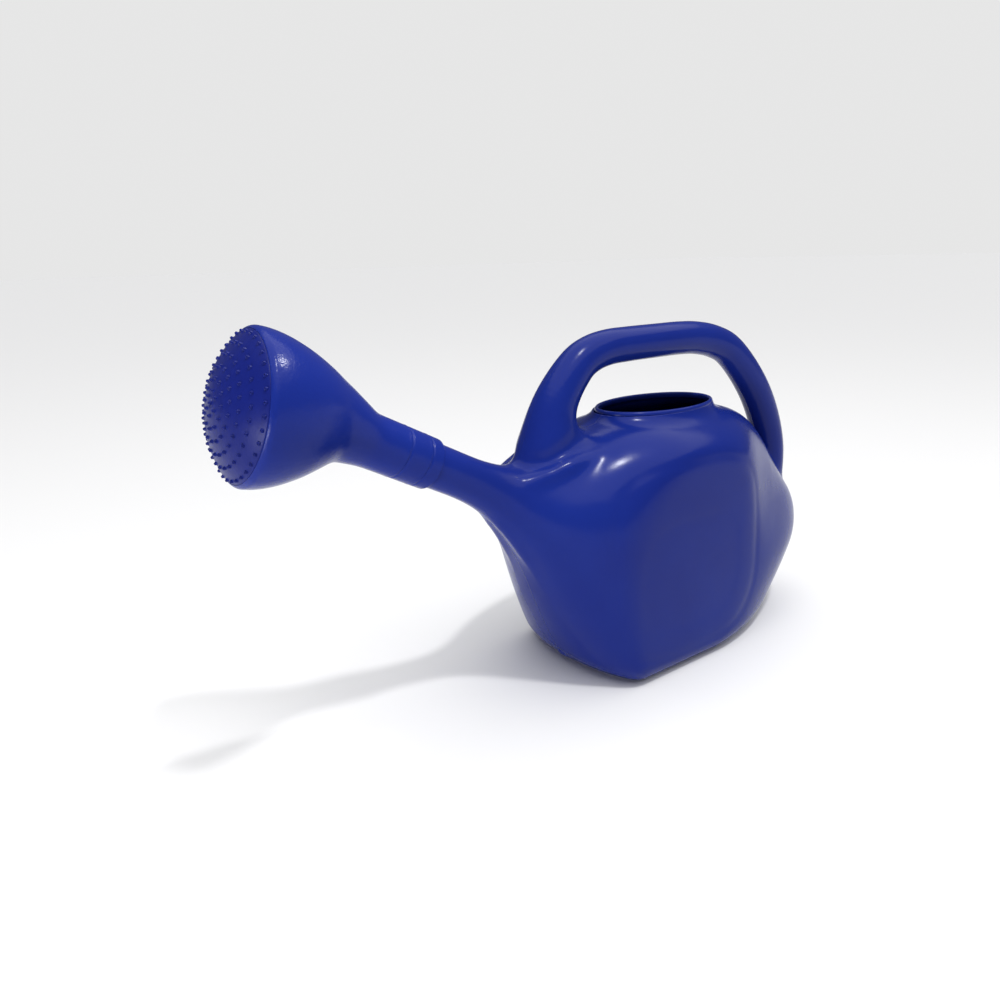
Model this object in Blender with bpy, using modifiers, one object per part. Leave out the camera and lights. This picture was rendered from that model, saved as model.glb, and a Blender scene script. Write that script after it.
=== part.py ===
# Blow-moulded garden watering can with a push-on angled rose.
# +Z is up, the spout points toward -X, the can is symmetric about Y = 0 and
# stands with its flat base on Z = 0.  Driving dimensions are in millimetres.
import math

import bmesh
import bpy
from mathutils import Matrix, Vector

MM = 0.001
GAP = 0.3                      # clearance between touching pieces
WALL = 2.4                     # wall of the blow moulding

# Side outline of the tank: corner points before rounding, counter-clockwise.
BASE_FRONT = (-78.0, 0.0)
BASE_REAR = (145.0, 0.0)
REAR_CORNER = (221.0, 89.0)
DECK_REAR = (121.5, 203.0)
DECK_FRONT = (-60.5, 210.0)
SHOULDER_FRONT = (-141.0, 148.0)
WAIST_FRONT = (-131.5, 97.0)
OUTLINE_ROUNDING = 33.0
BASE_ROUNDING = 21.0
# How far the side wall takes to curve in to the middle plane at each edge.
LENS_REAR_LOWER = 94.0
LENS_REAR_UPPER = 178.0
LENS_DECK = 24.0
LENS_FRONT_UPPER = 68.0
LENS_FRONT_MIDDLE = 100.0
LENS_FRONT_LOWER = 14.0
LENS_POWER = 1.81
WIDTH_POWER = 2.23
HALF_WIDTH_BASE = 73.4
HALF_WIDTH_TOP = 70.0
HALF_WIDTH_TOP_Z = 130.0

# Filler neck, an upstanding oval collar on the deck.
NECK_X = 22.2
NECK_HALF_LENGTH = 59.5
NECK_HALF_WIDTH = 36.7
NECK_RIM_Z = 213.6
NECK_BEAD = 1.2

# Handle arch: centre line points (x, z) and tube radius at each.
HANDLE_LINE = (
    (-88.0, 150.0, 21.0),
    (-98.0, 188.0, 24.0),
    (-91.0, 222.0, 19.0),
    (-66.8, 252.0, 15.6),
    (-33.0, 264.0, 14.4),
    (18.0, 264.6, 14.1),
    (70.0, 263.3, 14.0),
    (118.0, 247.0, 14.6),
    (163.0, 203.0, 15.4),
    (188.0, 150.0, 15.6),
    (190.0, 100.0, 15.6),
)

# Spout: a straight tube rising away from the tank.
SPOUT_ROOT = Vector((-168.8, 0.0, 179.6))
SPOUT_RISE = math.radians(28.1)
SPOUT_OUTLINE = (              # distance along the axis, outer radius
    (84.5, 15.7),
    (82.5, 16.1),
    (20.0, 16.3),
    (2.0, 16.6),
    (-12.0, 18.2),
    (-24.0, 21.3),
    (-36.0, 26.0),
    (-48.0, 32.0),
    (-58.0, 37.0),
    (-72.0, 39.0),
)

# Rose: socket on the spout axis, bell on its own flatter axis.
SOCKET_MOUTH = 40.3
SOCKET_RADIUS = 18.6
SOCKET_END = 88.0
SOCKET_BORE = 16.5
SEAL_LENGTH = 4.0
SEAL_SEAT_RADIUS = 17.5
RING_GROOVES = (50.0, 67.5)
GROOVE_DEPTH = 0.7
BELL_CENTRE = Vector((-328.5, 0.0, 254.6))
BELL_RISE = math.radians(14.4)
BELL_OUTLINE = (               # distance behind the rim plane, outer radius
    (62.0, 24.3),
    (54.0, 29.8),
    (46.0, 34.6),
    (38.0, 38.8),
    (30.0, 42.3),
    (20.0, 45.8),
    (10.0, 47.9),
    (3.0, 48.7),
    (0.0, 48.6),
    (-1.4, 47.9),
)
BELL_WALL = 2.1
FACE_RADIUS = 46.3
FACE_DOME_RISE = 18.4
FACE_DOME_BASE = 47.3
FACE_THICKNESS = 2.0
FACE_SKIRT = 3.7
NUB_PITCH = 7.3
NUB_ROWS = 6
NUB_HEIGHT = 1.5
NUB_BASE_RADIUS = 1.6
NUB_TOP_RADIUS = 1.0
SPRAY_HOLE_RADIUS = 0.5

AROUND_TANK = 44
AROUND_ROSE = 36


# ---------------------------------------------------------------- scene tools
def clear_scene():
    for obj in list(bpy.data.objects):
        bpy.data.objects.remove(obj, do_unlink=True)


def collection(name):
    group = bpy.data.collections.new(name)
    bpy.context.scene.collection.children.link(group)
    return group


def material(name, colour, roughness):
    mat = bpy.data.materials.new(name)
    mat.use_nodes = True
    shader = mat.node_tree.nodes["Principled BSDF"]
    shader.inputs["Base Color"].default_value = (*colour, 1.0)
    shader.inputs["Roughness"].default_value = roughness
    mat.diffuse_color = (*colour, 1.0)
    return mat


def add_object(name, mesh, group, mat=None):
    obj = bpy.data.objects.new(name, mesh)
    group.objects.link(obj)
    if mat is not None:
        mesh.materials.append(mat)
    for polygon in mesh.polygons:
        polygon.use_smooth = True
    return obj


def hide_cutter(obj):
    obj.hide_render = True
    obj.display_type = "WIRE"
    return obj


def boolean(obj, other, operation):
    mod = obj.modifiers.new(operation.lower(), "BOOLEAN")
    mod.operation = operation
    mod.solver = "EXACT"
    mod.object = other
    return mod


def loft(name, rings, group, mat=None, closed_tube=False):
    # Skin a list of rings of equal count; the ends are capped with a fan
    # unless the last ring joins back to the first.
    bm = bmesh.new()
    rows = []
    for ring in rings:
        rows.append([bm.verts.new(Vector(p) * MM) for p in ring])
    count = len(rows[0])
    pairs = list(zip(rows[:-1], rows[1:]))
    if closed_tube:
        pairs.append((rows[-1], rows[0]))
    for low, high in pairs:
        for i in range(count):
            j = (i + 1) % count
            bm.faces.new((low[i], low[j], high[j], high[i]))
    if not closed_tube:
        bm.faces.new(list(reversed(rows[0])))
        bm.faces.new(rows[-1])
    bmesh.ops.recalc_face_normals(bm, faces=bm.faces)
    mesh = bpy.data.meshes.new(name)
    bm.to_mesh(mesh)
    bm.free()
    return add_object(name, mesh, group, mat)


def revolve(name, profile, steps, group, mat=None):
    # Screw a closed profile of (radius, height) points around the local Z.
    points = [Vector((r * MM, 0.0, z * MM)) for r, z in profile]
    mesh = bpy.data.meshes.new(name)
    edges = [(i, (i + 1) % len(points)) for i in range(len(points))]
    if profile[0][0] == 0.0:
        edges = edges[:-1]
    mesh.from_pydata(points, edges, [])
    obj = bpy.data.objects.new(name, mesh)
    group.objects.link(obj)
    screw = obj.modifiers.new("turn", "SCREW")
    screw.axis = "Z"
    screw.angle = math.tau
    screw.steps = steps
    screw.render_steps = steps
    screw.use_merge_vertices = True
    screw.merge_threshold = 0.00001
    screw.use_smooth_shade = True
    if mat is not None:
        mesh.materials.append(mat)
    return obj


# -------------------------------------------------------------- tank geometry
def soft_min(a, b, k):
    h = min(1.0, max(0.0, 0.5 + 0.5 * (b - a) / k))
    return b + (a - b) * h - k * h * (1.0 - h)


def soft_max(a, b, k):
    return -soft_min(-a, -b, k)


OUTLINE = (BASE_REAR, REAR_CORNER, DECK_REAR, DECK_FRONT, SHOULDER_FRONT,
           WAIST_FRONT, BASE_FRONT)
LENS = (LENS_REAR_LOWER, LENS_REAR_UPPER, LENS_DECK, LENS_FRONT_UPPER,
        LENS_FRONT_MIDDLE, LENS_FRONT_LOWER)


def tank_level(x, y, z):
    # Near-distance in mm from the tank's outside: negative is inside.
    edges = []
    for a, b in zip(OUTLINE[:-1], OUTLINE[1:]):
        run, rise = b[0] - a[0], b[1] - a[1]
        length = math.hypot(run, rise)
        edges.append(((x - a[0]) * rise - (z - a[1]) * run) / length)
    depth = edges[0]
    for edge in edges[1:]:
        depth = soft_max(depth, edge, OUTLINE_ROUNDING)
    nearest = max(edges)
    total = 0.0
    lens = 0.0
    for edge, reach in zip(edges, LENS):
        weight = math.exp(max(-30.0, (edge - nearest) / 18.0))
        total += weight
        lens += weight * reach
    lens /= total
    share = min(1.0, max(0.0, z / HALF_WIDTH_TOP_Z))
    half = HALF_WIDTH_BASE + (HALF_WIDTH_TOP - HALF_WIDTH_BASE) * share
    t = max(0.0, 1.0 + depth / lens)
    q = abs(y) / half
    value = t ** LENS_POWER + q ** WIDTH_POWER
    slope = math.hypot(LENS_POWER * t ** (LENS_POWER - 1.0) / lens,
                       WIDTH_POWER * q ** (WIDTH_POWER - 1.0) / half) + 0.002
    level = min(400.0, max(-80.0, (value - 1.0) / slope))
    return soft_max(level, -z, BASE_ROUNDING)


def reach_out(origin, direction, offset, limit):
    # Distance from a point inside the tank to its outside, by halving.
    low, high = 0.0, limit
    for _ in range(40):
        mid = 0.5 * (low + high)
        p = origin + direction * mid
        if tank_level(p.x, p.y, p.z) < offset + 1e-6:
            low = mid
        else:
            high = mid
    return origin + direction * low


def plan_directions():
    out = []
    for i in range(AROUND_TANK):
        angle = math.tau * i / AROUND_TANK
        out.append(Vector((150.0 * math.cos(angle), 72.0 * math.sin(angle), 0.0)).normalized())
    return out


def neck_ring(grow, height):
    ring = []
    for i in range(AROUND_TANK):
        angle = math.tau * i / AROUND_TANK
        ring.append(Vector((NECK_X + (NECK_HALF_LENGTH + grow) * math.cos(angle),
                            (NECK_HALF_WIDTH + grow) * math.sin(angle), height)))
    return ring


SIDE_HEIGHTS = (1.5, 5.0, 12.0, 24.0, 42.0, 62.0, 82.0, 102.0, 122.0, 138.0,
                154.0, 168.0, 180.0)


def tank_rings(offset):
    # Rings from the base up the side and over the shoulder to the neck.
    floor = -offset
    rings = []
    for height in (0.0,) + SIDE_HEIGHTS:
        z = floor + height * (1.0 if offset == 0.0 else (1.0 - floor / 190.0))
        axis = Vector((NECK_X, 0.0, z))
        rings.append([reach_out(axis, d, offset, 330.0) for d in plan_directions()])
    last = rings[-1]
    inner = neck_ring(4.0 + offset, 0.0)
    for share in (0.3, 0.6, 0.85, 1.0):
        ring = []
        for outer_point, neck_point in zip(last, inner):
            x = outer_point.x + (neck_point.x - outer_point.x) * share
            y = outer_point.y + (neck_point.y - outer_point.y) * share
            foot = Vector((x, y, 120.0))
            ring.append(reach_out(foot, Vector((0.0, 0.0, 1.0)), offset, 130.0))
        rings.append(ring)
    return rings


def tank_solid(name, offset, group):
    return loft(name, tank_rings(offset), group)


def tank_shell(group, mat):
    outer = tank_rings(0.0)
    inner = tank_rings(-WALL)
    neck = []
    top = outer[-1]
    foot = [Vector((p.x, p.y, q.z + 1.3)) for p, q in zip(neck_ring(1.4, 0.0), top)]
    neck.append(foot)
    neck.append([Vector((p.x, p.y, q.z + 4.0)) for p, q in zip(neck_ring(0.0, 0.0), top)])
    neck.append(neck_ring(0.0, NECK_RIM_Z - 3.4))
    neck.append(neck_ring(NECK_BEAD, NECK_RIM_Z - 2.4))
    neck.append(neck_ring(NECK_BEAD, NECK_RIM_Z - 0.9))
    neck.append(neck_ring(NECK_BEAD - 0.9, NECK_RIM_Z))
    neck.append(neck_ring(-WALL + 0.4, NECK_RIM_Z))
    neck.append(neck_ring(-WALL, NECK_RIM_Z - 0.6))
    low = [Vector((p.x, p.y, q.z + 2.0)) for p, q in zip(neck_ring(-WALL, 0.0), inner[-1])]
    neck.append(low)
    rings = outer + neck + list(reversed(inner))
    return loft("tank_shell", rings, group, mat)


# ------------------------------------------------------------- handle geometry
def handle_solid(name, grow, group, overrun=0.0):
    # A round tube of changing radius swept along the arch; a bore overruns
    # both ends so that no two end caps share a plane.
    curve = bpy.data.curves.new(name + "_line", "CURVE")
    curve.dimensions = "3D"
    curve.resolution_u = 4
    curve.render_resolution_u = 4
    curve.bevel_depth = MM
    curve.bevel_resolution = 3
    curve.use_fill_caps = True
    curve.twist_mode = "MINIMUM"
    spline = curve.splines.new("BEZIER")
    line = [list(p) for p in HANDLE_LINE]
    line[0][1] -= overrun
    line[-1][1] -= overrun
    spline.bezier_points.add(len(line) - 1)
    for point, (x, z, radius) in zip(spline.bezier_points, line):
        point.co = Vector((x, 0.0, z)) * MM
        point.radius = radius + grow
        point.handle_left_type = "AUTO"
        point.handle_right_type = "AUTO"
    source = bpy.data.objects.new(name + "_line", curve)
    group.objects.link(source)
    bpy.context.view_layer.update()
    graph = bpy.context.evaluated_depsgraph_get()
    mesh = bpy.data.meshes.new_from_object(source.evaluated_get(graph))
    bpy.data.objects.remove(source, do_unlink=True)
    bm = bmesh.new()
    bm.from_mesh(mesh)
    bmesh.ops.remove_doubles(bm, verts=bm.verts, dist=0.00001)
    bmesh.ops.recalc_face_normals(bm, faces=bm.faces)
    bm.to_mesh(mesh)
    bm.free()
    mesh.name = name
    return add_object(name, mesh, group)


# -------------------------------------------------------------- spout geometry
def spout_point(along):
    return SPOUT_ROOT + Vector((-math.cos(SPOUT_RISE), 0.0, math.sin(SPOUT_RISE))) * along


def along_axis(rise, origin):
    # Place a revolved piece: its local Z runs along a rising axis toward -X.
    turn = Matrix.Rotation(-(math.pi / 2.0 - rise), 4, "Y")
    return Matrix.Translation(origin * MM) @ turn


def spout_tube(group, mat):
    outer = [(r, s) for s, r in SPOUT_OUTLINE]
    inner = [(r - WALL, s) for s, r in reversed(SPOUT_OUTLINE)]
    inner[-1] = (SPOUT_OUTLINE[0][1] - WALL + 0.4, SPOUT_OUTLINE[0][0])
    obj = revolve("spout_tube", outer + inner, 36, group, mat)
    obj.matrix_world = along_axis(SPOUT_RISE, SPOUT_ROOT)
    return obj


def spout_solid(name, grow, group, foot):
    profile = [(0.0, SPOUT_OUTLINE[0][0] + 6.0), (SPOUT_OUTLINE[0][1] + grow, SPOUT_OUTLINE[0][0] + 6.0)]
    profile += [(r + grow, s) for s, r in SPOUT_OUTLINE]
    profile += [(SPOUT_OUTLINE[-1][1] + grow, foot), (0.0, foot)]
    obj = revolve(name, profile, 36, group)
    obj.matrix_world = along_axis(SPOUT_RISE, SPOUT_ROOT)
    return obj


# --------------------------------------------------------------- rose geometry
def circle(centre, rise, radius):
    # A ring square to an axis that rises toward -X.
    side = Vector((0.0, 1.0, 0.0))
    up = Vector((math.sin(rise), 0.0, math.cos(rise)))
    ring = []
    for i in range(AROUND_ROSE):
        angle = math.tau * i / AROUND_ROSE
        ring.append(centre + side * (radius * math.cos(angle)) + up * (radius * math.sin(angle)))
    return ring


def socket_ring(along, radius):
    return circle(spout_point(along), SPOUT_RISE, radius)


def bell_ring(behind, radius):
    axis = Vector((math.cos(BELL_RISE), 0.0, -math.sin(BELL_RISE)))
    return circle(BELL_CENTRE + axis * behind, BELL_RISE, radius)


def throat_ring(radius):
    a = spout_point(SOCKET_END)
    b = BELL_CENTRE + Vector((math.cos(BELL_RISE), 0.0, -math.sin(BELL_RISE))) * BELL_OUTLINE[0][0]
    return circle(a * 0.52 + b * 0.48, 0.5 * (SPOUT_RISE + BELL_RISE), radius)


def rose_bell(group, mat):
    rings = [socket_ring(SOCKET_MOUTH, SOCKET_RADIUS - 0.6)]
    rings.append(socket_ring(SOCKET_MOUTH + 0.7, SOCKET_RADIUS))
    for groove in RING_GROOVES:
        rings.append(socket_ring(groove - 1.5, SOCKET_RADIUS))
        rings.append(socket_ring(groove - 0.7, SOCKET_RADIUS - GROOVE_DEPTH))
        rings.append(socket_ring(groove + 0.7, SOCKET_RADIUS - GROOVE_DEPTH))
        rings.append(socket_ring(groove + 1.5, SOCKET_RADIUS))
    rings.append(socket_ring(SOCKET_END, SOCKET_RADIUS + 0.1))
    rings.append(throat_ring(20.7))
    for behind, radius in BELL_OUTLINE:
        rings.append(bell_ring(behind, radius))
    rings.append(bell_ring(-1.4, FACE_RADIUS + GAP + 0.1))
    rings.append(bell_ring(FACE_SKIRT + GAP, FACE_RADIUS + GAP))
    rings.append(bell_ring(FACE_SKIRT + GAP, FACE_RADIUS - 1.9))
    rings.append(bell_ring(10.0, 45.0 - 0.6))
    for behind, radius in reversed(BELL_OUTLINE[:6]):
        rings.append(bell_ring(behind + 0.5, radius - BELL_WALL))
    rings.append(throat_ring(20.7 - BELL_WALL - 0.6))
    rings.append(socket_ring(SOCKET_END, 14.4))
    rings.append(socket_ring(SOCKET_END - 1.6, 14.2))
    rings.append(socket_ring(SOCKET_END - 2.2, SOCKET_BORE))
    rings.append(socket_ring(SOCKET_MOUTH + SEAL_LENGTH, SOCKET_BORE))
    rings.append(socket_ring(SOCKET_MOUTH + SEAL_LENGTH, SEAL_SEAT_RADIUS))
    rings.append(socket_ring(SOCKET_MOUTH, SEAL_SEAT_RADIUS))
    origin = spout_point(SOCKET_MOUTH)
    rings = [[p - origin for p in ring] for ring in rings]
    obj = loft("rose_bell", rings, group, mat, closed_tube=True)
    obj.location = origin * MM
    return obj


def seal_ring(group, mat):
    outer = SEAL_SEAT_RADIUS - 0.1
    inner = SPOUT_OUTLINE[1][1] + 0.25
    low, high = 0.2, SEAL_LENGTH - 0.2
    profile = ((outer, high), (outer, low), (inner, low), (inner, high))
    obj = revolve("socket_seal_ring", profile, 36, group, mat)
    obj.matrix_world = along_axis(SPOUT_RISE, spout_point(SOCKET_MOUTH))
    return obj


def dome_height(radius, rise, base):
    ball = (base * base + rise * rise) / (2.0 * rise)
    return math.sqrt(ball * ball - radius * radius) - (ball - rise)


def rose_face_plate(group, mat, cutters):
    profile = [(0.0, FACE_DOME_RISE)]
    for share in (0.16, 0.32, 0.48, 0.64, 0.8, 0.92, 0.985):
        radius = FACE_RADIUS * share
        profile.append((radius, dome_height(radius, FACE_DOME_RISE, FACE_DOME_BASE)))
    edge = dome_height(FACE_RADIUS, FACE_DOME_RISE, FACE_DOME_BASE)
    profile += [(FACE_RADIUS, edge - 0.6), (FACE_RADIUS, -FACE_SKIRT)]
    profile += [(FACE_RADIUS - 1.6, -FACE_SKIRT), (FACE_RADIUS - 1.9, edge - FACE_THICKNESS - 0.2)]
    for share in (0.92, 0.8, 0.64, 0.48, 0.32, 0.16):
        radius = FACE_RADIUS * share
        profile.append((radius, dome_height(radius, FACE_DOME_RISE, FACE_DOME_BASE) - FACE_THICKNESS))
    profile.append((0.0, FACE_DOME_RISE - FACE_THICKNESS))
    obj = revolve("rose_face_plate", profile, AROUND_ROSE, group, mat)
    obj.matrix_world = along_axis(BELL_RISE, BELL_CENTRE)
    nubs = bmesh.new()
    holes = bmesh.new()
    for row in range(NUB_ROWS + 1):
        count = max(1, 6 * row)
        radius = NUB_PITCH * row
        for i in range(count):
            angle = math.tau * (i + 0.5 * (row % 2)) / count
            x, y = radius * math.cos(angle), radius * math.sin(angle)
            z = dome_height(radius, FACE_DOME_RISE, FACE_DOME_BASE)
            place = Matrix.Translation(Vector((x, y, z)) * MM)
            place = place @ Matrix.Rotation(angle, 4, "Z")
            ball = (FACE_DOME_BASE ** 2 + FACE_DOME_RISE ** 2) / (2.0 * FACE_DOME_RISE)
            place = place @ Matrix.Rotation(math.asin(radius / ball), 4, "Y")
            lift = Matrix.Translation(Vector((0.0, 0.0, 0.5 * NUB_HEIGHT - 0.4)) * MM)
            bmesh.ops.create_cone(nubs, cap_ends=True, segments=5, radius1=NUB_BASE_RADIUS * MM,
                                  radius2=NUB_TOP_RADIUS * MM, depth=(NUB_HEIGHT + 0.8) * MM,
                                  matrix=place @ lift)
            bmesh.ops.create_cone(holes, cap_ends=True, segments=4, radius1=SPRAY_HOLE_RADIUS * MM,
                                  radius2=SPRAY_HOLE_RADIUS * MM, depth=9.0 * MM, matrix=place)
    for name, bm, operation in (("nub_blanks", nubs, "UNION"), ("hole_drills", holes, "DIFFERENCE")):
        mesh = bpy.data.meshes.new(name)
        bm.to_mesh(mesh)
        bm.free()
        tool = hide_cutter(add_object(name, mesh, cutters))
        tool.matrix_world = along_axis(BELL_RISE, BELL_CENTRE)
        boolean(obj, tool, operation)
    return obj


# --------------------------------------------------------------------- build
def build():
    clear_scene()
    parts = collection("watering_can")
    cutters = collection("watering_can_cutters")
    blue = material("blue_polyethylene", (0.010, 0.035, 0.33), 0.32)
    spout_blue = material("blue_polyethylene_spout", (0.010, 0.035, 0.33), 0.32)
    handle_blue = material("blue_polyethylene_handle", (0.010, 0.035, 0.33), 0.32)
    bell_blue = material("blue_polypropylene_bell", (0.009, 0.032, 0.31), 0.36)
    face_blue = material("blue_polypropylene_face", (0.009, 0.030, 0.30), 0.38)
    rubber = material("black_rubber_seal", (0.02, 0.02, 0.022), 0.7)

    tank_keep_out = hide_cutter(tank_solid("tank_keep_out", GAP, cutters))
    spout_keep_out = hide_cutter(spout_solid("spout_keep_out", GAP, cutters, -74.0))
    spout_bore = hide_cutter(spout_solid("spout_bore", -WALL, cutters, -84.0))
    handle_bore = hide_cutter(handle_solid("handle_bore", -WALL, cutters, 6.0))

    tank = tank_shell(parts, blue)
    boolean(tank, spout_bore, "DIFFERENCE")
    boolean(tank, handle_bore, "DIFFERENCE")

    spout = spout_tube(parts, spout_blue)
    boolean(spout, tank_keep_out, "DIFFERENCE")

    handle = handle_solid("carry_handle", 0.0, parts)
    handle.data.materials.append(handle_blue)
    boolean(handle, handle_bore, "DIFFERENCE")
    boolean(handle, tank_keep_out, "DIFFERENCE")
    boolean(handle, spout_keep_out, "DIFFERENCE")

    seal_ring(parts, rubber)
    rose_bell(parts, bell_blue)
    rose_face_plate(parts, face_blue, cutters)


build()
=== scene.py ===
import math

import bmesh
import bpy
import numpy as np
from mathutils import Matrix, Vector

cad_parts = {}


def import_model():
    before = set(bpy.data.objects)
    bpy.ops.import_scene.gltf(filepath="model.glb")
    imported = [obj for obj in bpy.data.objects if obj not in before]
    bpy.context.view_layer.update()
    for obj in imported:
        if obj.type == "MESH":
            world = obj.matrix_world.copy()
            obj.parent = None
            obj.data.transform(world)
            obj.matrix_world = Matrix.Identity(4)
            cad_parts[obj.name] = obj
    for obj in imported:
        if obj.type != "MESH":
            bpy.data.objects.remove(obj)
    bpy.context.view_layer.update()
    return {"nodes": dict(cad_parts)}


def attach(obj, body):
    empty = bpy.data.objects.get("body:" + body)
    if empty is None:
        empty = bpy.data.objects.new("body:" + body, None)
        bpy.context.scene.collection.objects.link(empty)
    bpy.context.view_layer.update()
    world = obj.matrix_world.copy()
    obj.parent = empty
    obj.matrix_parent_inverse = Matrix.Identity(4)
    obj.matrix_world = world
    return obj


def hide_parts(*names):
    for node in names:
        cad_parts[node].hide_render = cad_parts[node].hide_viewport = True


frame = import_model()

MM = 0.001
WALL = 2.4                                  # wall of the blow moulding
STEP = 2.0           # grid step of the skin

# ------------------------------------------------------------------ can shape
# Side outline of the tank before rounding, from the base's rear end round to its front,
# and how far the side wall takes to curve in to the middle plane at each edge of it.
OUTLINE = ((145.0, 0.0), (219.9, 89.0), (121.5, 203.0), (-60.5, 210.0),
           (-141.0, 148.0), (-131.5, 97.0), (-78.0, 0.0))
LENS = (94.0, 178.0, 24.0, 68.0, 100.0, 14.0)
LENS_MIX = 18.0
LENS_ENTRY = 0.34
LENS_POWER, WIDTH_POWER = 1.81, 2.23
OUTLINE_ROUNDING, BASE_ROUNDING = 33.0, 21.0
HALF_WIDTH, TAPER, TAPER_HEIGHT = 73.1, 3.1, 130.0

# Filler neck: centre, half length, half width, where the wall is cut, and its extent.
NECK_X, NECK_A, NECK_B, RIM_CUT = 22.2, 59.5, 36.7, 210.5
NECK_BOTTOM, NECK_TOP, NECK_BLEND = 150.0, 224.0, 13.0

# Handle arch: centre line x, z and the tube's radius, which is less across than up.
HANDLE = ((-88.0, 150.0, 21.0), (-97.0, 190.0, 22.5), (-90.8, 222.1, 18.2),
          (-66.8, 252.4, 15.4), (-52.2, 260.1, 14.7), (-34.0, 263.7, 14.2),
          (-14.0, 264.4, 14.0), (18.0, 264.5, 13.9), (50.0, 264.3, 13.9),
          (69.9, 263.0, 13.9), (94.4, 258.0, 14.1), (117.9, 247.4, 14.4),
          (162.0, 203.0, 15.2), (187.0, 152.0, 15.4), (190.0, 104.0, 15.4))
HANDLE_Y = 0.93
# The blend into the tank grows from the rear leg to the front leg.
HANDLE_BLEND, HANDLE_BLEND_GROWTH = 6.0, 20.0
HANDLE_BLEND_FROM, HANDLE_BLEND_RUN = 60.0, 120.0

# Spout: root, rise, radius, and how far the tube runs each way from its root.
SPOUT = (-168.8, 179.6)
SPOUT_RISE = math.radians(28.1)
SPOUT_RADIUS, SPOUT_LENGTH, SPOUT_FOOT, SPOUT_CUT = 16.15, 92.0, 60.0, 84.4
SPOUT_BLEND = 45.0

# Side panel: centre x and z, half length, half height and corner power of two rounded
# outlines, with the size that turns each into a distance.
PILLOW = (-3.0, 98.0, 84.0, 80.0, 3.4, 78.0)
TRAY = (-3.0, 86.0, 58.0, 48.0, 3.0, 48.0)
CHANNEL_DEPTH, CHANNEL_WIDTH = 0.35, 3.6
PILLOW_HEIGHT, PILLOW_INSET, PILLOW_EDGE = 0.25, 5.0, 1.7
TRAY_DEPTH, TRAY_EDGE = 0.3, 1.6
PANEL_FROM_Y, PANEL_FADE = 34.0, 14.0

# Soft lines drawn on both sides, each point x, |y|, z and height, with their widths.
DECK_RIDGE = ((-142.0, 12.0, 170.0, 0.0), (-130.0, 19.0, 174.5, 2.4),
              (-115.0, 25.0, 179.0, 3.4), (-98.0, 30.0, 184.5, 3.0),
              (-82.0, 32.0, 189.0, 1.4), (-64.0, 35.0, 192.0, 0.0))
ROOT_VALLEY = ((-134.0, 0.0, 190.0, 0.8), (-127.0, 12.0, 186.5, 2.0),
               (-112.0, 20.0, 188.0, 2.8), (-96.0, 22.0, 195.0, 2.6),
               (-82.0, 24.0, 202.0, 1.4), (-66.0, 27.0, 204.0, 0.0))
NOSE_RIDGE = ((-163.0, 7.0, 152.0, 0.0), (-149.0, 8.0, 140.0, 1.4),
              (-134.0, 11.0, 117.0, 1.3), (-122.0, 18.0, 84.0, 0.7),
              (-108.0, 26.0, 50.0, 0.0))
DECK_RIDGE_WIDTH, ROOT_VALLEY_WIDTH, NOSE_RIDGE_WIDTH = 5.8, 7.0, 5.5

# The mould's pinch-off leaves a short fin across the front edge of the base: the start
# and run of its centre line in x and z, its radius, and its blend.
FIN_X, FIN_Z, FIN_RUN, FIN_FALL = -81.0, 12.5, 15.0, 10.5
FIN_RADIUS, FIN_Y, FIN_BLEND = 3.0, 0.8, 4.0


def soft_min(a, b, k):
    h = np.clip(0.5 + 0.5 * (b - a) / k, 0.0, 1.0)
    return b + (a - b) * h - k * h * (1.0 - h)


def soft_max(a, b, k):
    return -soft_min(-a, -b, k)


def tank(x, y, z):
    y = np.abs(y)
    edges = []
    for a, b in zip(OUTLINE[:-1], OUTLINE[1:]):
        run, rise = b[0] - a[0], b[1] - a[1]
        length = math.hypot(run, rise)
        edges.append(((x - a[0]) * rise - (z - a[1]) * run) / length)
    depth = edges[0]
    for edge in edges[1:]:
        depth = soft_max(depth, edge, OUTLINE_ROUNDING)
    nearest = np.maximum.reduce(edges)
    total = 0.0
    lens = 0.0
    for edge, reach in zip(edges, LENS):
        weight = np.exp(np.maximum(-30.0, (edge - nearest) / LENS_MIX))
        total = total + weight
        lens = lens + weight * reach
    lens = lens / total
    half = HALF_WIDTH - TAPER * np.clip(z / TAPER_HEIGHT, 0.0, 1.0)
    t = soft_max(0.0, 1.0 + depth / lens, LENS_ENTRY)
    q = y / half
    value = t ** LENS_POWER + q ** WIDTH_POWER
    slope = np.hypot(LENS_POWER * t ** (LENS_POWER - 1.0) / lens,
                     WIDTH_POWER * q ** (WIDTH_POWER - 1.0) / half) + 0.002
    level = np.clip((value - 1.0) / slope, -80.0, 400.0)
    return soft_max(level, -z, BASE_ROUNDING)


def catmull(points, per):
    # Centripetal spline, so uneven spacing makes no ripple.
    pts = np.array(points, float)
    ends = np.vstack([2 * pts[0] - pts[1], pts, 2 * pts[-1] - pts[-2]])
    out = []
    for i in range(len(pts) - 1):
        p = ends[i:i + 4]
        g = np.linalg.norm(np.diff(p[:, :2], axis=0), axis=1) ** 0.5
        a = g[1] * ((p[1] - p[0]) / g[0] - (p[2] - p[0]) / (g[0] + g[1])
                    + (p[2] - p[1]) / g[1])
        b = g[1] * ((p[2] - p[1]) / g[1] - (p[3] - p[1]) / (g[1] + g[2])
                    + (p[3] - p[2]) / g[2])
        for j in range(per):
            t = j / per
            out.append((2 * t ** 3 - 3 * t ** 2 + 1) * p[1] + (t ** 3 - 2 * t ** 2 + t) * a
                       + (3 * t ** 2 - 2 * t ** 3) * p[2] + (t ** 3 - t ** 2) * b)
    out.append(pts[-1])
    return np.array(out)


HANDLE_PATH = catmull(HANDLE, 9)


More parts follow.
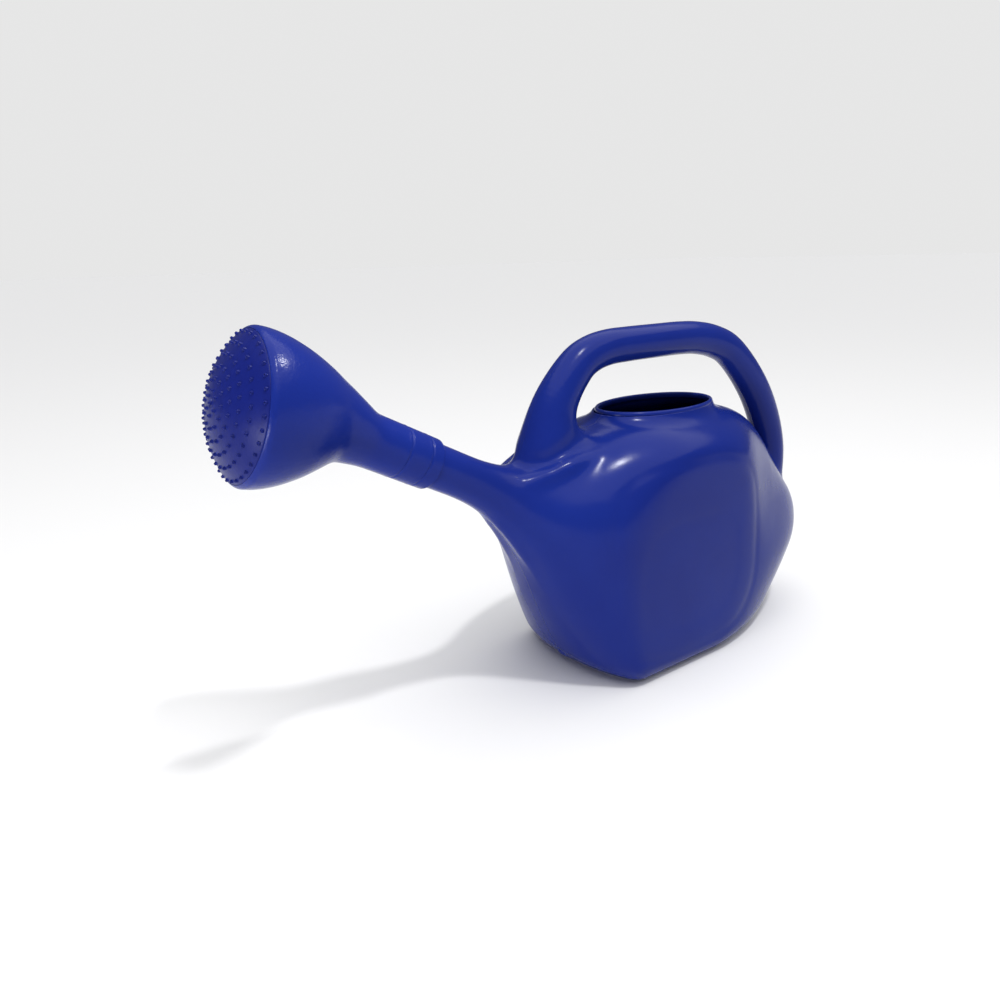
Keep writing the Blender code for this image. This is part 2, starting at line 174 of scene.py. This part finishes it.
def handle(x, y, z):
    best = np.full(np.broadcast(x, y, z).shape, 1e3)
    yy = y / HANDLE_Y
    for a, b in zip(HANDLE_PATH[:-1], HANDLE_PATH[1:]):
        ex, ez = b[0] - a[0], b[1] - a[1]
        t = np.clip(((x - a[0]) * ex + (z - a[1]) * ez) / (ex * ex + ez * ez), 0.0, 1.0)
        d = np.sqrt((x - a[0] - t * ex) ** 2 + (z - a[1] - t * ez) ** 2 + yy ** 2)
        best = np.minimum(best, d - (a[2] + (b[2] - a[2]) * t))
    return best


def spout(x, y, z):
    c, s = math.cos(SPOUT_RISE), math.sin(SPOUT_RISE)
    along = -(x - SPOUT[0]) * c + (z - SPOUT[1]) * s
    up = (x - SPOUT[0]) * s + (z - SPOUT[1]) * c
    return np.maximum(np.hypot(up, y) - SPOUT_RADIUS,
                      np.maximum(along - SPOUT_LENGTH, -SPOUT_FOOT - along))


def neck(x, y, z):
    dx = x - NECK_X
    q = np.sqrt((dx / NECK_A) ** 2 + (y / NECK_B) ** 2)
    slope = np.sqrt((dx / NECK_A ** 2) ** 2 + (y / NECK_B ** 2) ** 2) / np.maximum(q, 0.2)
    wall = (q - 1.0) / np.maximum(slope, 0.2 / NECK_A)
    return np.maximum(wall, np.maximum(NECK_BOTTOM - z, z - NECK_TOP))


def rounded_outline(x, z, shape):
    centre_x, centre_z, half_x, half_z, power, size = shape
    reach = (np.abs(x - centre_x) / half_x) ** power + (np.abs(z - centre_z) / half_z) ** power
    return (reach ** (1.0 / power) - 1.0) * size


def plateau(edge, height, softness):
    return height / (1.0 + np.exp(np.clip(edge / softness, -30.0, 30.0)))


def panel_relief(x, y, z):
    # A rounded pillow stands a little proud of each side, inside a shallow channel, with
    # a slightly sunk tray in it.
    edge = rounded_outline(x, z, PILLOW)
    side = np.clip((np.abs(y) - PANEL_FROM_Y) / PANEL_FADE, 0.0, 1.0)
    channel = CHANNEL_DEPTH * np.exp(-(edge / CHANNEL_WIDTH) ** 2)
    pillow = plateau(edge + PILLOW_INSET, PILLOW_HEIGHT, PILLOW_EDGE)
    tray = plateau(rounded_outline(x, z, TRAY), TRAY_DEPTH, TRAY_EDGE)
    return (channel - pillow + tray) * side


def stroke(x, y, z, points, width):
    # Height of a soft line along the points.
    y = np.abs(y)
    height = 0.0
    for a, b in zip(points[:-1], points[1:]):
        run = [b[i] - a[i] for i in range(3)]
        t = np.clip(((x - a[0]) * run[0] + (y - a[1]) * run[1] + (z - a[2]) * run[2])
                    / sum(r * r for r in run), 0.0, 1.0)
        gap = ((x - a[0] - t * run[0]) ** 2 + (y - a[1] - t * run[1]) ** 2
               + (z - a[2] - t * run[2]) ** 2)
        height = np.maximum(height, (a[3] + (b[3] - a[3]) * t) * np.exp(-gap / width ** 2))
    return height


def pinch_fin(x, y, z):
    t = np.clip(((x - FIN_X) * FIN_RUN - (z - FIN_Z) * FIN_FALL)
                / (FIN_RUN ** 2 + FIN_FALL ** 2), 0.0, 1.0)
    return np.sqrt((x - FIN_X - FIN_RUN * t) ** 2 + (FIN_Y * y) ** 2
                   + (z - FIN_Z + FIN_FALL * t) ** 2) - FIN_RADIUS


def body_outer(x, y, z):
    d = tank(x, y, z)
    d = soft_min(d, spout(x, y, z), SPOUT_BLEND)
    blend = HANDLE_BLEND + HANDLE_BLEND_GROWTH * np.clip(
        (HANDLE_BLEND_FROM - x) / HANDLE_BLEND_RUN, 0.0, 1.0)
    d = soft_min(d, handle(x, y, z), blend)
    d = soft_min(d, neck(x, y, z), NECK_BLEND)
    d = soft_min(d, pinch_fin(x, y, z), FIN_BLEND)
    d = d - stroke(x, y, z, DECK_RIDGE, DECK_RIDGE_WIDTH)
    d = d + stroke(x, y, z, ROOT_VALLEY, ROOT_VALLEY_WIDTH)
    d = d - stroke(x, y, z, NOSE_RIDGE, NOSE_RIDGE_WIDTH)
    return d + panel_relief(x, y, z)


# ------------------------------------------------------- isosurface of a field
# Corners of the box that holds the skin: lowest and highest x, half width, lowest and
# highest z.
NET_X, NET_HALF_Y, NET_Z = (-256.0, 218.0), 78.0, (-3.0, 283.0)


def surface_net(field, step):
    # Quads between the cells that the field's zero crosses.  The field is taken on one
    # half of the grid and mirrored, so the skin is the same on both sides.
    xs = np.arange(NET_X[0], NET_X[1] + step, step)
    zs = np.arange(NET_Z[0], NET_Z[1] + step, step)
    half = np.arange(0.0, NET_HALF_Y + step, step)
    grid = np.empty((len(xs), len(half), len(zs)), np.float32)
    for i, x in enumerate(xs):
        yy, zz = np.meshgrid(half, zs, indexing="ij")
        grid[i] = field(np.full_like(yy, x), yy, zz)
    grid = np.concatenate([grid[:, :0:-1], grid], axis=1)
    ys = np.concatenate([-half[:0:-1], half])
    inside = grid < 0.0
    shape = [n - 1 for n in grid.shape]
    corner = [(i, j, k) for i in (0, 1) for j in (0, 1) for k in (0, 1)]
    view = {c: grid[c[0]:c[0] + shape[0], c[1]:c[1] + shape[1], c[2]:c[2] + shape[2]]
            for c in corner}
    count_in = sum((view[c] < 0.0).astype(np.int8) for c in corner)
    active = np.nonzero((count_in > 0) & (count_in < 8))
    value = {c: view[c][active] for c in corner}
    total = np.zeros((len(active[0]), 3))
    hits = np.zeros(len(active[0]))
    for a in corner:
        for axis in range(3):
            if a[axis]:
                continue
            b = tuple(v + (1 if n == axis else 0) for n, v in enumerate(a))
            va, vb = value[a], value[b]
            cross = (va < 0.0) != (vb < 0.0)
            t = np.where(cross, va / np.where(cross, va - vb, 1.0), 0.0)
            point = np.repeat(np.array(a, float)[None], len(t), 0)
            point[:, axis] += t
            total += point * cross[:, None]
            hits += cross
    local = total / hits[:, None]
    verts = np.stack([xs[active[0]] + local[:, 0] * step,
                      ys[active[1]] + local[:, 1] * step,
                      zs[active[2]] + local[:, 2] * step], 1)
    index = np.full(shape, -1, np.int64)
    index[active] = np.arange(len(verts))
    quads = []
    for axis in range(3):
        u, v = [(1, 2), (2, 0), (0, 1)][axis]
        first = [slice(None)] * 3
        second = [slice(None)] * 3
        first[axis] = slice(0, -1)
        second[axis] = slice(1, None)
        a, b = inside[tuple(first)], inside[tuple(second)]
        where = np.array(np.nonzero(a != b)).T
        where = where[(where[:, u] > 0) & (where[:, v] > 0)
                      & (where[:, u] < shape[u]) & (where[:, v] < shape[v])]
        flip = ~a[tuple(where.T)]
        cells = []
        for du, dv in ((0, 0), (1, 0), (1, 1), (0, 1)):
            cell = where.copy()
            cell[:, u] -= du
            cell[:, v] -= dv
            cells.append(index[tuple(cell.T)])
        quad = np.stack(cells, 1)
        quad[flip] = quad[flip][:, ::-1]
        quads.append(quad)
    return verts, np.concatenate(quads)


def settle(field, verts, rounds, limit):
    # Moves each vertex on to the field's zero along its slope.
    probe = 0.15
    for _ in range(rounds):
        d = field(verts[:, 0], verts[:, 1], verts[:, 2])
        slope = np.stack([(field(*(verts + off).T) - field(*(verts - off).T)) / (2 * probe)
                          for off in np.eye(3) * probe], 1)
        size = np.maximum((slope ** 2).sum(1), 0.05)
        move = -(d / size)[:, None] * slope
        length = np.maximum(np.linalg.norm(move, axis=1), 1e-9)
        move *= np.minimum(1.0, limit / length)[:, None]
        verts = verts + move
    return verts


def mesh_object(name, verts, faces):
    mesh = bpy.data.meshes.new(name)
    mesh.from_pydata((np.asarray(verts) * MM).tolist(), [], [list(map(int, f)) for f in faces])
    mesh.validate()
    mesh.update()
    mesh.shade_smooth()
    obj = bpy.data.objects.new(name, mesh)
    bpy.context.scene.collection.objects.link(obj)
    return obj


def cut_open(obj, pick, point, normal):
    # Removes what lies past a plane, only among the faces that pick() accepts.
    mesh = obj.data
    bm = bmesh.new()
    bm.from_mesh(mesh)
    faces = [f for f in bm.faces if pick(f.calc_center_median() / MM)]
    edges = list({e for f in faces for e in f.edges})
    verts = list({v for f in faces for v in f.verts})
    bmesh.ops.bisect_plane(bm, geom=verts + edges + faces, dist=1e-6,
                           plane_co=Vector(point) * MM, plane_no=Vector(normal),
                           clear_outer=True)
    bm.to_mesh(mesh)
    bm.free()


def near_rim(p):
    margin = 4.0
    return (206.0 < p[2] < 228.0
            and ((p[0] - NECK_X) / (NECK_A + margin)) ** 2
            + (p[1] / (NECK_B + margin)) ** 2 < 1.0)


def near_spout_tip(p):
    return p[0] < -230.0


def can_skin():
    verts, quads = surface_net(body_outer, STEP)
    verts = settle(body_outer, verts, 3, 0.8)
    verts[:, 2] = np.maximum(verts[:, 2], 0.0)
    obj = mesh_object("can_moulding", verts, quads)
    cut_open(obj, near_rim, (NECK_X, 0.0, RIM_CUT), (0.0, 0.0, 1.0))
    tip = spout_at(SPOUT_CUT)
    cut_open(obj, near_spout_tip, (tip[0], 0.0, tip[1]),
             (-math.cos(SPOUT_RISE), 0.0, math.sin(SPOUT_RISE)))
    wall = obj.modifiers.new("wall", "SOLIDIFY")
    wall.thickness = WALL * MM
    wall.offset = -1.0
    obj.data.shade_smooth()
    return obj


# Section of the rolled filler rim: distance out from the neck's oval, and height.
RIM_SECTION = ((0.2, 209.0), (0.7, 209.8), (0.82, 210.6), (0.75, 211.6), (0.4, 212.6),
               (-0.2, 213.25), (-1.0, 213.5), (-1.7, 213.3), (-2.3, 212.7), (-2.6, 211.7),
               (-2.6, 209.0), (-2.3, 208.6), (-1.2, 208.6))


def filler_rim():
    # One closed section swept round the oval neck.
    around = 180
    angle = np.linspace(0.0, math.tau, around, endpoint=False)
    nx, ny = np.cos(angle) / NECK_A, np.sin(angle) / NECK_B
    size = np.hypot(nx, ny)
    rings = []
    for out, z in RIM_SECTION:
        rings.append(np.stack([NECK_X + NECK_A * np.cos(angle) + nx / size * out,
                               NECK_B * np.sin(angle) + ny / size * out,
                               np.full(around, z)], 1))
    verts, faces = stitch(rings)
    return mesh_object("filler_rim", verts, faces)


# ------------------------------------------------------------------ rose shape
# The socket follows the spout's axis from SOCKET; the bell has an axis of its own.
SOCKET, SOCKET_RADIUS, SOCKET_BORE = 40.3, 18.5, 16.45
BELL = (-328.5, 254.6)
BELL_RISE = math.radians(14.4)
BELL_WALL = 2.2
# Radius along the bell's axis.
BELL_PROFILE = ((-95.0, 14.0), (-78.0, 17.0), (-62.0, 24.3), (-54.0, 29.8), (-46.0, 34.6),
                (-38.0, 38.8), (-30.0, 42.3), (-20.0, 45.8), (-12.0, 47.6), (-7.0, 48.2),
                (-3.4, 48.3), (4.0, 48.3))
# The rim turns over from the bell's side towards the face plate.
RIM_START, RIM_OUTER, RIM_ROUND, RIM_TURN = -3.14, 48.3, 5.0, 48.9
# Where the socket bends into the bell: its end on each axis, and how it is eased.
TURN_START, TURN_END = 93.0, -58.0
TURN_GAP, TURN_RINGS, EASE_ROUNDS, EASE_TOP, EASE_UNDER = 1.3, 22, 34, 0.12, 0.38
# Turned rings near both ends of the socket: a groove with a low bead beside it.
GROOVES = (50.0, 67.5)
GROOVE_DEPTH, GROOVE_WIDTH, BEAD_HEIGHT, BEAD_OFFSET, BEAD_WIDTH = 0.5, 0.7, 0.15, 1.9, 1.0
# Face plate: a shallow ball's cap.
DOME_RISE, DOME_BASE, PLATE = 18.2, 47.3, 2.0
BALL = (DOME_BASE ** 2 + DOME_RISE ** 2) / (2 * DOME_RISE)
# Spray nubs in rings round the middle one.
NUB_RINGS, NUB_PITCH = 6, 7.3
NUB_PROFILE = ((-0.6, 1.5), (0.02, 1.36), (0.45, 1.08), (0.9, 0.88), (1.25, 0.72),
               (1.42, 0.5), (1.38, 0.34), (1.1, 0.3), (-0.4, 0.3))


def smooth_profile(points, xs):
    # Monotone cubic through the points.
    p = np.array(points, float)
    x, y = p[:, 0], p[:, 1]
    h = np.diff(x)
    m = np.diff(y) / h
    s = np.zeros(len(x))
    for i in range(1, len(x) - 1):
        if m[i - 1] * m[i] > 0:
            w1, w2 = 2 * h[i] + h[i - 1], h[i] + 2 * h[i - 1]
            s[i] = (w1 + w2) / (w1 / m[i - 1] + w2 / m[i])
    s[0], s[-1] = m[0], m[-1]
    k = np.clip(np.searchsorted(x, xs) - 1, 0, len(h) - 1)
    t = np.clip((xs - x[k]) / h[k], 0.0, 1.0)
    return ((2 * t ** 3 - 3 * t ** 2 + 1) * y[k] + (t ** 3 - 2 * t ** 2 + t) * h[k] * s[k]
            + (3 * t ** 2 - 2 * t ** 3) * y[k + 1] + (t ** 3 - t ** 2) * h[k] * s[k + 1])


def bell_radius(t):
    return smooth_profile(BELL_PROFILE, np.array([t]))[0]


def spout_at(s):
    return np.array([SPOUT[0] - math.cos(SPOUT_RISE) * s, SPOUT[1] + math.sin(SPOUT_RISE) * s])


def bell_at(t):
    return np.array([BELL[0] - math.cos(BELL_RISE) * t, BELL[1] + math.sin(BELL_RISE) * t])


def ring_at(centre, rise, radius, around):
    angle = np.linspace(0.0, math.tau, around, endpoint=False)
    up = np.sin(angle) * radius
    return np.stack([centre[0] + up * math.sin(rise), np.cos(angle) * radius,
                     centre[1] + up * math.cos(rise)], 1)


def socket_ring(s, radius, around):
    return ring_at(spout_at(s), SPOUT_RISE, radius, around)


def bell_ring(t, radius, around):
    return ring_at(bell_at(t), BELL_RISE, radius, around)


def stitch(rings):
    # One closed tube of quads: ring to ring, and the last ring back to the first.
    count = len(rings[0])
    faces = []
    for a in range(len(rings)):
        b = (a + 1) % len(rings)
        for i in range(count):
            j = (i + 1) % count
            faces.append((a * count + i, a * count + j, b * count + j, b * count + i))
    return np.concatenate(rings), faces


def groove_cut(s):
    cut = 0.0
    for place in GROOVES:
        cut += GROOVE_DEPTH * math.exp(-((s - place) / GROOVE_WIDTH) ** 2)
        cut -= BEAD_HEIGHT * math.exp(-((s - place - BEAD_OFFSET) / BEAD_WIDTH) ** 2)
    return cut


def dome(radius, sink=0.0):
    return math.sqrt((BALL - sink) ** 2 - radius ** 2) - (BALL - DOME_RISE)


def turn_path(around, thinner):
    # Rings along the socket's end, across to the bell, and up its cone.  The two corners
    # are then eased, more underneath than on top.
    flare = bell_radius(TURN_END)
    a, b = spout_at(TURN_START), bell_at(TURN_END)
    rings = [socket_ring(s, SOCKET_RADIUS - thinner, around)
             for s in np.arange(TURN_START - 20.8, TURN_START - 0.1, TURN_GAP)]
    for t in np.linspace(0.0, 1.0, TURN_RINGS):
        rings.append(ring_at(a * (1 - t) + b * t, SPOUT_RISE + (BELL_RISE - SPOUT_RISE) * t,
                             SOCKET_RADIUS + (flare - SOCKET_RADIUS) * t - thinner, around))
    for t in np.arange(TURN_END + TURN_GAP, TURN_END + 22.0, TURN_GAP):
        rings.append(bell_ring(t, bell_radius(t) - thinner, around))
    stack = np.array(rings)
    below = 0.5 - 0.5 * np.sin(np.linspace(0.0, math.tau, around, endpoint=False))
    pull = (EASE_TOP + EASE_UNDER * below)[None, :, None]
    for _ in range(EASE_ROUNDS):
        mean = 0.5 * (stack[:-2] + stack[2:])
        stack[1:-1] += pull * (mean - stack[1:-1])
    return list(stack)


def rose_bell_skin():
    around = 168
    # The socket's mouth, then its outside with closer rings at the grooves.
    rings = [socket_ring(s, r, around)
             for s, r in ((SOCKET, 17.3), (SOCKET, 17.9), (SOCKET + 0.15, 18.25),
                          (SOCKET + 0.5, 18.45))]
    for s in np.concatenate([np.arange(41.4, 53.6, 0.4), np.arange(54.0, 64.0, 1.6),
                             np.arange(64.4, 71.9, 0.4)]):
        rings.append(socket_ring(s, SOCKET_RADIUS - groove_cut(s), around))
    rings += turn_path(around, 0.0)
    # The bell's outside and its rolled rim.
    for t in np.arange(TURN_END + 23.0, -3.5, 1.6):
        rings.append(bell_ring(t, bell_radius(t), around))
    for turn in np.radians(np.linspace(0.0, RIM_TURN, 8)):
        rings.append(bell_ring(RIM_START + RIM_ROUND * math.sin(turn),
                               RIM_OUTER - RIM_ROUND * (1.0 - math.cos(turn)), around))
    # The seat of the face plate, then back down inside to the socket's bore.
    for t, r in ((dome(46.1), 46.1), (dome(46.0) - 0.08, 45.95), (0.75, 45.88),
                 (-4.2, 45.88), (-4.2, 44.6)):
        rings.append(bell_ring(t, r, around))
    for t in np.arange(-8.0, TURN_END + 22.5, -4.0):
        rings.append(bell_ring(t, min(bell_radius(t) - BELL_WALL, 44.4), around))
    rings += turn_path(around, BELL_WALL)[::-1][:-7]
    for s, r in ((79.0, SOCKET_BORE), (44.4, SOCKET_BORE), (44.2, 17.3)):
        rings.append(socket_ring(s, r, around))
    verts, faces = stitch(rings)
    return mesh_object("rose_bell_moulding", verts, faces)


def rose_face_skin():
    # Domed plate with a cylindrical skirt, as one turned profile.
    around = 160
    rings = []
    for r in (0.6, 3, 7, 12, 17, 22, 27, 31, 35, 38.5, 41.5, 43.6, 44.9, 45.45):
        rings.append(bell_ring(dome(r), r, around))
    for t, r in ((dome(45.65) - 0.08, 45.65), (0.95, 45.78), (-3.6, 45.78), (-3.6, 44.7)):
        rings.append(bell_ring(t, r, around))
    for r in (44.2, 41.0, 36.0, 30.0, 24.0, 18.0, 12.0, 6.0, 0.6):
        rings.append(bell_ring(dome(r, PLATE), r, around))
    verts, faces = stitch(rings)
    return mesh_object("rose_face_moulding", verts, faces)


def nub_spots():
    # Radius and angle of each nub; every other ring is turned by half a space.
    spots = []
    for ring in range(NUB_RINGS + 1):
        count = max(1, 6 * ring)
        for i in range(count):
            spots.append((NUB_PITCH * ring, math.tau * (i + 0.5 * (ring % 2)) / count))
    return spots


def rose_nubs():
    # Little rounded spray nipples, each with its hole.
    around = 14
    verts = []
    faces = []
    c, s = math.cos(BELL_RISE), math.sin(BELL_RISE)
    axis = Vector((-c, 0.0, s))
    up = Vector((s, 0.0, c))
    side = Vector((0.0, 1.0, 0.0))
    for radius, angle in nub_spots():
        out = side * math.cos(angle) + up * math.sin(angle)
        lean = math.asin(radius / BALL)
        normal = axis * math.cos(lean) + out * math.sin(lean)
        foot = Vector((BELL[0], 0.0, BELL[1])) + axis * dome(radius) + out * radius
        u = normal.orthogonal().normalized()
        v = normal.cross(u)
        base = len(verts)
        for height, r in NUB_PROFILE:
            for i in range(around):
                a = math.tau * i / around
                verts.append(foot + normal * height + (u * math.cos(a) + v * math.sin(a)) * r)
        last = len(NUB_PROFILE) - 1
        for k in range(last):
            for i in range(around):
                j = (i + 1) % around
                faces.append((base + k * around + i, base + k * around + j,
                              base + (k + 1) * around + j, base + (k + 1) * around + i))
        faces.append(tuple(base + last * around + i for i in range(around)))
    return mesh_object("rose_spray_nubs", [tuple(p) for p in verts], faces)


# ------------------------------------------------------------------- materials
DEEP, LIGHT = (0.007, 0.017, 0.172), (0.008, 0.022, 0.205)
FACE_DEEP, FACE_LIGHT = (0.005, 0.010, 0.125), (0.006, 0.013, 0.150)
TINT_SIZE, CLOUD_SIZE, WAVE_SIZE = 9.0, 38.0, 70.0
GLOSS_DOWN, GLOSS_UP = 0.03, 0.04
PEEL_DEPTH, WAVE_DEPTH = 0.0006, 0.0012
PARTING_WIDTH, PARTING_DEPTH, PARTING_STRENGTH = 0.0008, 0.0005, 0.4


def new_material(name):
    mat = bpy.data.materials.new(name)
    mat.use_nodes = True
    tree = mat.node_tree
    return mat, tree, tree.nodes["Principled BSDF"]


def noise(tree, place, size, detail=2.0):
    made = tree.nodes.new("ShaderNodeTexNoise")
    made.inputs["Scale"].default_value = size
    made.inputs["Detail"].default_value = detail
    tree.links.new(place, made.inputs["Vector"])
    return made.outputs["Fac"]


def map_range(tree, source, from_range, to_range, smooth=False):
    made = tree.nodes.new("ShaderNodeMapRange")
    if smooth:
        made.interpolation_type = "SMOOTHSTEP"
    made.inputs["From Min"].default_value, made.inputs["From Max"].default_value = from_range
    made.inputs["To Min"].default_value, made.inputs["To Max"].default_value = to_range
    tree.links.new(source, made.inputs["Value"])
    return made.outputs["Result"]


def bump(tree, height, strength, distance, normal=None):
    made = tree.nodes.new("ShaderNodeBump")
    made.inputs["Strength"].default_value = strength
    made.inputs["Distance"].default_value = distance
    tree.links.new(height, made.inputs["Height"])
    if normal:
        tree.links.new(normal, made.inputs["Normal"])
    return made.outputs["Normal"]


def parting_line(tree, place, normal):
    # A fine raised line where the mould's halves met, on the middle plane.
    split = tree.nodes.new("ShaderNodeSeparateXYZ")
    tree.links.new(place, split.inputs["Vector"])
    across = tree.nodes.new("ShaderNodeMath")
    across.operation = "ABSOLUTE"
    tree.links.new(split.outputs["Y"], across.inputs[0])
    line = map_range(tree, across.outputs["Value"], (0.0, PARTING_WIDTH), (1.0, 0.0), True)
    return bump(tree, line, PARTING_STRENGTH, PARTING_DEPTH, normal)


def blue_plastic(name, deep, light, rough, peel, peel_size, wave_height=0.2, parting=False):
    # Moulded plastic: colour drifts slowly, gloss varies in clouds, and the surface has a
    # fine orange peel over soft waves.
    mat, tree, shader = new_material(name)
    link = tree.links.new
    place = tree.nodes.new("ShaderNodeTexCoord").outputs["Object"]
    middle = (0.3, 0.7)
    drift = map_range(tree, noise(tree, place, TINT_SIZE, 3.0), middle, (0.0, 1.0))
    tint = tree.nodes.new("ShaderNodeMix")
    tint.data_type = "RGBA"
    factor, first, second = tint.inputs[0], tint.inputs[6], tint.inputs[7]
    first.default_value = (*deep, 1.0)
    second.default_value = (*light, 1.0)
    link(drift, factor)
    link(tint.outputs[2], shader.inputs["Base Color"])
    gloss = map_range(tree, noise(tree, place, CLOUD_SIZE, 1.5), middle,
                      (rough - GLOSS_DOWN, rough + GLOSS_UP))
    link(gloss, shader.inputs["Roughness"])
    normal = bump(tree, noise(tree, place, peel_size), peel, PEEL_DEPTH)
    normal = bump(tree, noise(tree, place, WAVE_SIZE, 1.0), wave_height, WAVE_DEPTH, normal)
    if parting:
        normal = parting_line(tree, place, normal)
    link(normal, shader.inputs["Normal"])
    shader.inputs["IOR"].default_value = 1.5
    shader.inputs["Specular IOR Level"].default_value = 0.12
    return mat


def rubber():
    mat, tree, shader = new_material("seal_rubber_black")
    place = tree.nodes.new("ShaderNodeTexCoord").outputs["Object"]
    normal = bump(tree, noise(tree, place, 900.0), 0.2, 0.0002)
    tree.links.new(normal, shader.inputs["Normal"])
    shader.inputs["Base Color"].default_value = (0.018, 0.018, 0.02, 1.0)
    shader.inputs["Roughness"].default_value = 0.65
    return mat


def coat(obj, mat):
    obj.data.materials.clear()
    obj.data.materials.append(mat)


def dress(obj, mat, body_name):
    coat(obj, mat)
    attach(obj, body_name)
    return obj


can_mat = blue_plastic("blue_blow_moulding", DEEP, LIGHT, 0.19, 0.035, 300.0, 0.10, True)
skin = dress(can_skin(), can_mat, "can")
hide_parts("tank_shell", "carry_handle", "spout_tube")
dress(filler_rim(), can_mat, "can")
bell_mat = blue_plastic("blue_rose_plastic", DEEP, LIGHT, 0.21, 0.26, 480.0)
bell = dress(rose_bell_skin(), bell_mat, "rose")
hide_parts("rose_bell")
face_mat = blue_plastic("blue_rose_face_plastic", FACE_DEEP, FACE_LIGHT, 0.32, 0.16, 620.0)
face = dress(rose_face_skin(), face_mat, "rose")
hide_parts("rose_face_plate")
dress(rose_nubs(), face_mat, "rose")
coat(frame["nodes"]["socket_seal_ring"], rubber())


# ---------------------------------------------------------- floor, light, view
# Brightness of the surroundings as light, and as the plain background, which is that of
# the far floor so that no horizon shows.
WORLD_LIGHT, WORLD_BACKGROUND = 0.16, 0.795
FLOOR_SIZE, FLOOR_DROP = 60.0, -0.0002
IMAGE_WIDTH, SENSOR, FOCAL_PIXELS = 1000.0, 36.0, 787.1
VIEW_FROM = (-0.47746, -0.45650, 0.33484)
VIEW_FORWARD = (0.56393222, 0.77098265, -0.29591587)
VIEW_ROLL = math.radians(-1.55)


def floor():
    bpy.ops.mesh.primitive_plane_add(size=FLOOR_SIZE, location=(0.0, 0.0, FLOOR_DROP))
    obj = bpy.context.object
    obj.name = "studio_floor"
    mat, _, shader = new_material("pale_floor")
    shader.inputs["Base Color"].default_value = (0.80, 0.80, 0.805, 1.0)
    shader.inputs["Roughness"].default_value = 0.8
    obj.data.materials.append(mat)


def new_light(name, kind, power, place):
    data = bpy.data.lights.new(name, kind)
    data.energy = power
    obj = bpy.data.objects.new(name, data)
    bpy.context.scene.collection.objects.link(obj)
    obj.location = place
    return obj, data


def aim(obj, target):
    toward = Vector(target) - obj.location
    obj.rotation_euler = toward.to_track_quat("-Z", "Y").to_euler()


def softbox(name, place, target, size, power):
    obj, data = new_light(name, "AREA", power, place)
    data.shape = "RECTANGLE"
    data.size, data.size_y = size
    aim(obj, target)


def spot(name, place, target, power, spread):
    obj, data = new_light(name, "SPOT", power, place)
    data.spot_size = math.radians(spread)
    data.spot_blend = 0.8
    data.shadow_soft_size = 0.04
    aim(obj, target)


def sun(name, toward, power, spread):
    obj, data = new_light(name, "SUN", power, (0.0, 0.0, 0.0))
    data.angle = math.radians(spread)
    obj.rotation_euler = Vector(toward).to_track_quat("Z", "Y").to_euler()


def camera():
    data = bpy.data.cameras.new("view")
    data.sensor_width = SENSOR
    data.lens = FOCAL_PIXELS * SENSOR / IMAGE_WIDTH
    data.clip_start = 0.05
    obj = bpy.data.objects.new("view", data)
    bpy.context.scene.collection.objects.link(obj)
    forward = Vector(VIEW_FORWARD).normalized()
    level = forward.cross(Vector((0, 0, 1))).normalized()
    upright = level.cross(forward)
    c, s = math.cos(VIEW_ROLL), math.sin(VIEW_ROLL)
    right, up = level * c + upright * s, upright * c - level * s
    turn = Matrix((right, up, -forward)).transposed().to_4x4()
    obj.matrix_world = Matrix.Translation(Vector(VIEW_FROM)) @ turn
    bpy.context.scene.camera = obj


def world():
    made = bpy.data.worlds.new("studio")
    bpy.context.scene.world = made
    made.use_nodes = True
    tree = made.node_tree
    back = tree.nodes["Background"]
    back.inputs["Color"].default_value = (1.0, 1.0, 1.0, 1.0)
    path = tree.nodes.new("ShaderNodeLightPath")
    strength = map_range(tree, path.outputs["Is Camera Ray"], (0.0, 1.0),
                         (WORLD_LIGHT, WORLD_BACKGROUND))
    tree.links.new(strength, back.inputs["Strength"])
    bpy.context.scene.view_settings.view_transform = "Standard"


floor()
world()
softbox("key_overhead", (-0.03, -0.63, 1.79), (-0.03, 0.0, 0.16), (0.16, 0.11), 13.0)
spot("rose_light", (0.52, -0.24, 1.28), (-0.31, -0.02, 0.27), 34.0, 17.0)
softbox("low_left_fill", (-1.3, -0.25, 0.12), (-0.1, 0.0, 0.1), (0.5, 0.2), 6.0)
sun("even_top_light", (0.12, -0.1, 1.0), 2.8, 95.0)
camera()

bpy.context.view_layer.update()
